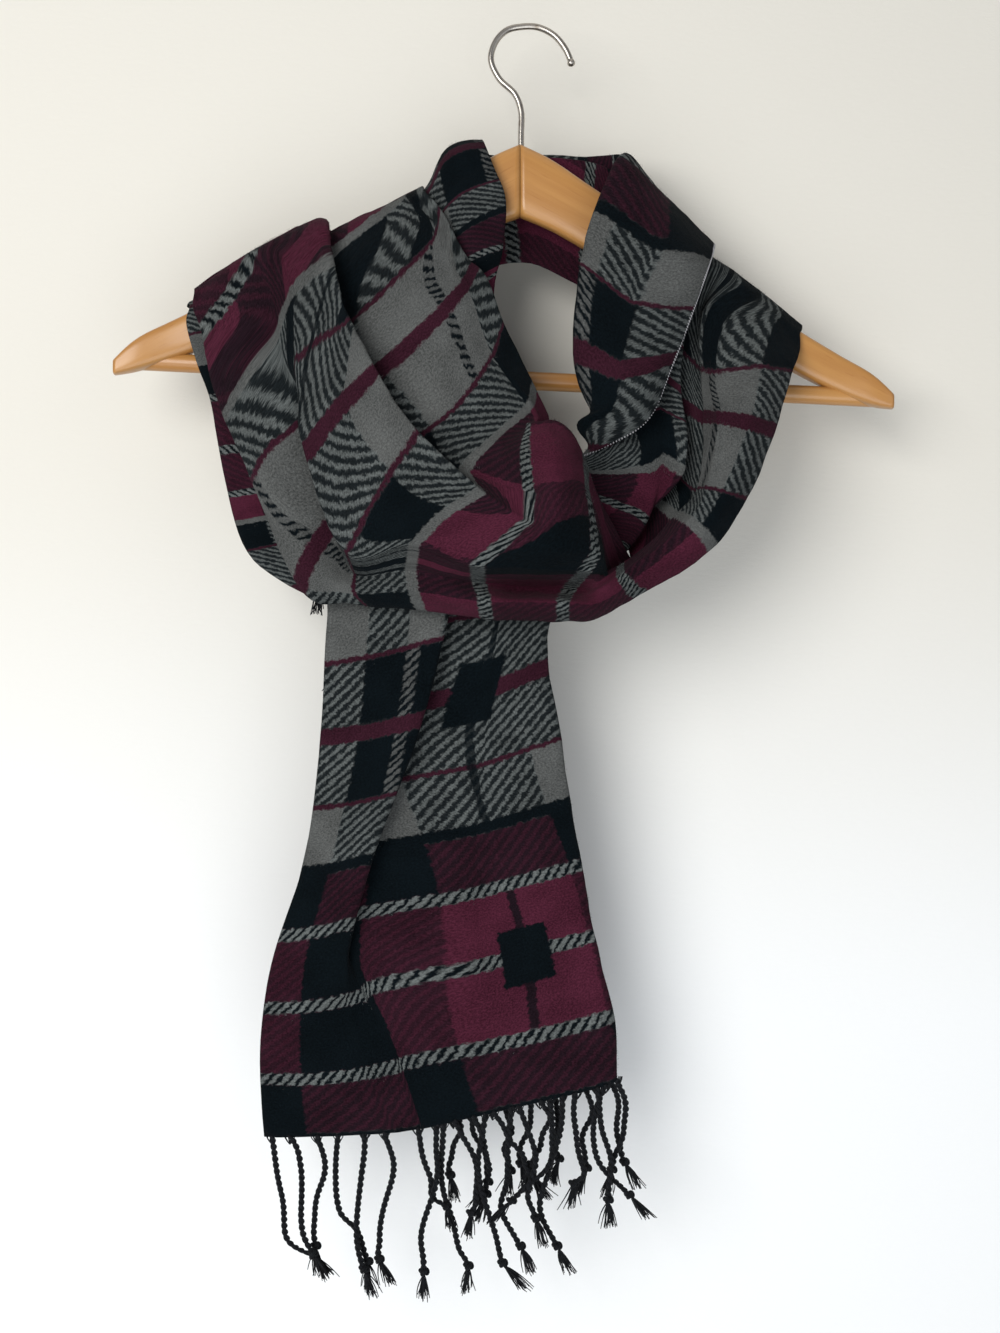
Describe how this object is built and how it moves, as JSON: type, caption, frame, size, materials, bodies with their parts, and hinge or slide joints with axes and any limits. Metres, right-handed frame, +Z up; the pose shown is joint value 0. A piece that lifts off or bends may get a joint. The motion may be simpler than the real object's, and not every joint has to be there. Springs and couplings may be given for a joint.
{
  "type": "silk scarf on a wooden coat hanger",
  "caption": "Plaid brushed silk scarf with a knotted fringe, wound twice round a beech coat hanger with a steel hook.",
  "frame": {"origin": "inside top of the hook, where it hangs on a rail", "axes": "+Z up along the hanging scarf, -Y towards the viewer of its front"},
  "size_m": [0.443, 0.1375, 0.7005],
  "materials": {
    "cloth": "brushed",
    "yarn": "twisted",
    "beech": "varnished",
    "steel": "polished"
  },
  "bodies": {
    "root": {"left_panel": "cloth", "cowl": "cloth", "right_side": "cloth", "neck_inner": "cloth", "under_end": "cloth", "neck_outer": "cloth", "right_flap": "cloth", "tail": "cloth", "fringe_tail": "yarn", "fringe_turned": "yarn", "fringe_hidden": "yarn", "hanger_arm_left": "beech", "hanger_arm_right": "beech", "hanger_rail": "beech", "hook": "steel"}
  },
  "joints": []
}
